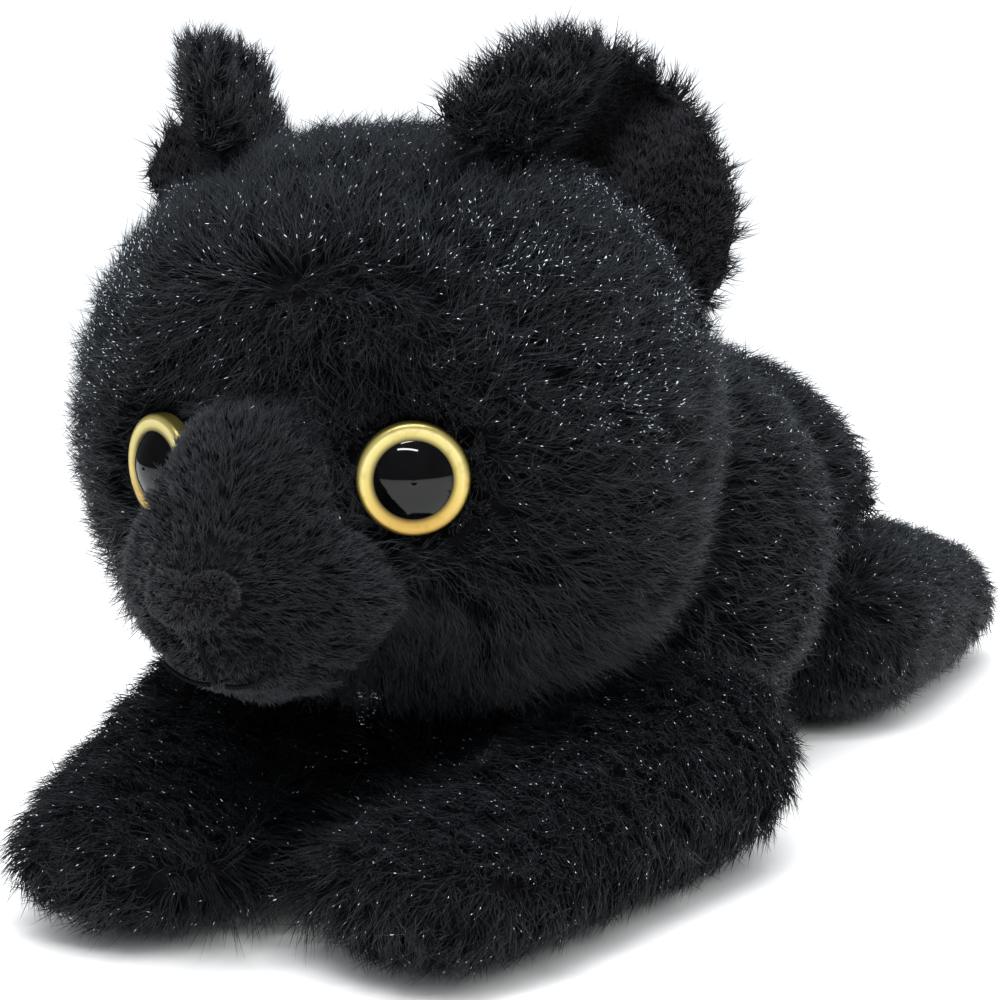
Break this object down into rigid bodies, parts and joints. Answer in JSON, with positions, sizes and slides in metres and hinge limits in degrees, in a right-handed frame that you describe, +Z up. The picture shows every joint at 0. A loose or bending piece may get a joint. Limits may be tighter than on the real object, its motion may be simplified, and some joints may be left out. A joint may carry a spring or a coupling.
{
  "type": "plush cat",
  "caption": "Soft black long pile stuffed cat lying on its belly with forelegs forward, gold rimmed plastic eyes, a short pile muzzle and cupped ears.",
  "frame": {"origin": "on the ground under the middle of the whole cat's length and width, tail included", "axes": "+Z up, -Y the way the cat's body points, from tail to head, +X towards the cat's left side"},
  "size_m": [0.1492, 0.3396, 0.1717],
  "materials": {
    "long_pile": "long pile, blue-black, soft sheen",
    "short_pile": "short brushed pile, matte",
    "nose_pile": "short brushed pile, matte",
    "ear_lining_pile": "short brushed pile, soft sheen",
    "thread": "twisted sewing thread, matte",
    "polyester_fibre": "loose fibre fill",
    "pellet_cloth": "plain woven bag, matte",
    "eye_gold": "satin pale gold paint on plastic",
    "eye_black": "polished black",
    "washer_plastic": "moulded, matte"
  },
  "bodies": {
    "body": {"left_body_panel": "long_pile", "right_body_panel": "long_pile", "left_chest_panel": "long_pile", "right_chest_panel": "long_pile", "belly_panel": "long_pile", "body_stuffing": "polyester_fibre", "pellet_bag": "pellet_cloth", "closing_seam": "thread"},
    "neck": {"neck_stuffing": "polyester_fibre"},
    "head": {"crown_gusset": "long_pile", "left_face_panel": "long_pile", "right_face_panel": "long_pile", "left_back_head_panel": "long_pile", "right_back_head_panel": "long_pile", "throat_panel": "long_pile", "muzzle_bridge": "short_pile", "left_muzzle_pad": "short_pile", "right_muzzle_pad": "short_pile", "chin_panel": "short_pile", "nose_patch": "nose_pile", "mouth_stitch": "thread", "head_stuffing": "polyester_fibre", "muzzle_stuffing": "polyester_fibre", "left_eye_rim": "eye_gold", "left_eye_dome": "eye_black", "left_eye_washer": "washer_plastic", "right_eye_rim": "eye_gold", "right_eye_dome": "eye_black", "right_eye_washer": "washer_plastic"},
    "left_ear": {"left_ear_back": "long_pile", "left_ear_lining": "ear_lining_pile"},
    "right_ear": {"right_ear_back": "long_pile", "right_ear_lining": "ear_lining_pile"},
    "left_foreleg": {"left_foreleg_outer": "long_pile", "left_foreleg_inner": "long_pile", "left_foreleg_stuffing": "polyester_fibre"},
    "right_foreleg": {"right_foreleg_outer": "long_pile", "right_foreleg_inner": "long_pile", "right_foreleg_stuffing": "polyester_fibre"},
    "left_hindleg": {"left_hindleg_outer": "long_pile", "left_hindleg_inner": "long_pile", "left_hindleg_stuffing": "polyester_fibre"},
    "right_hindleg": {"right_hindleg_outer": "long_pile", "right_hindleg_inner": "long_pile", "right_hindleg_stuffing": "polyester_fibre"},
    "tail": {"tail_cover": "long_pile", "tail_stuffing": "polyester_fibre"}
  },
  "joints": [
    {"name": "head_turn", "type": "hinge", "parent": "body", "child": "neck", "pos_m": [0, -0.054, 0.055], "axis": [0, 0, 1], "range_deg": [-6, 5], "stiffness_Nm_per_rad": 1.2},
    {"name": "head_nod", "type": "hinge", "parent": "neck", "child": "head", "pos_m": [0, -0.054, 0.055], "axis": [-1, 0, 0], "range_deg": [0, 7], "stiffness_Nm_per_rad": 2},
    {"name": "left_ear_fold", "type": "hinge", "parent": "head", "child": "left_ear", "pos_m": [0.04096, -0.08315, 0.1413], "axis": [0.6208, 0.6148, -0.4864], "range_deg": [-7, 8], "stiffness_Nm_per_rad": 0.03},
    {"name": "right_ear_fold", "type": "hinge", "parent": "head", "child": "right_ear", "pos_m": [-0.04099, -0.09466, 0.1413], "axis": [0.7662, -0.4199, 0.4864], "range_deg": [-7, 8], "stiffness_Nm_per_rad": 0.03},
    {"name": "left_foreleg_splay", "type": "hinge", "parent": "body", "child": "left_foreleg", "pos_m": [0.051, -0.063, 0.024], "axis": [0, 0, 1], "range_deg": [0, 20], "stiffness_Nm_per_rad": 0.15},
    {"name": "right_foreleg_splay", "type": "hinge", "parent": "body", "child": "right_foreleg", "pos_m": [-0.051, -0.073, 0.024], "axis": [0, 0, -1], "range_deg": [0, 20], "stiffness_Nm_per_rad": 0.15},
    {"name": "left_hindleg_splay", "type": "hinge", "parent": "body", "child": "left_hindleg", "pos_m": [0.039, 0.049, 0.027], "axis": [0, 0, -1], "range_deg": [0, 18], "stiffness_Nm_per_rad": 0.15},
    {"name": "right_hindleg_splay", "type": "hinge", "parent": "body", "child": "right_hindleg", "pos_m": [-0.039, 0.049, 0.027], "axis": [0, 0, 1], "range_deg": [0, 18], "stiffness_Nm_per_rad": 0.15},
    {"name": "tail_swing", "type": "hinge", "parent": "body", "child": "tail", "pos_m": [0, 0.096, 0.022], "axis": [0, 0, 1], "range_deg": [-12, 12], "stiffness_Nm_per_rad": 0.05}
  ]
}
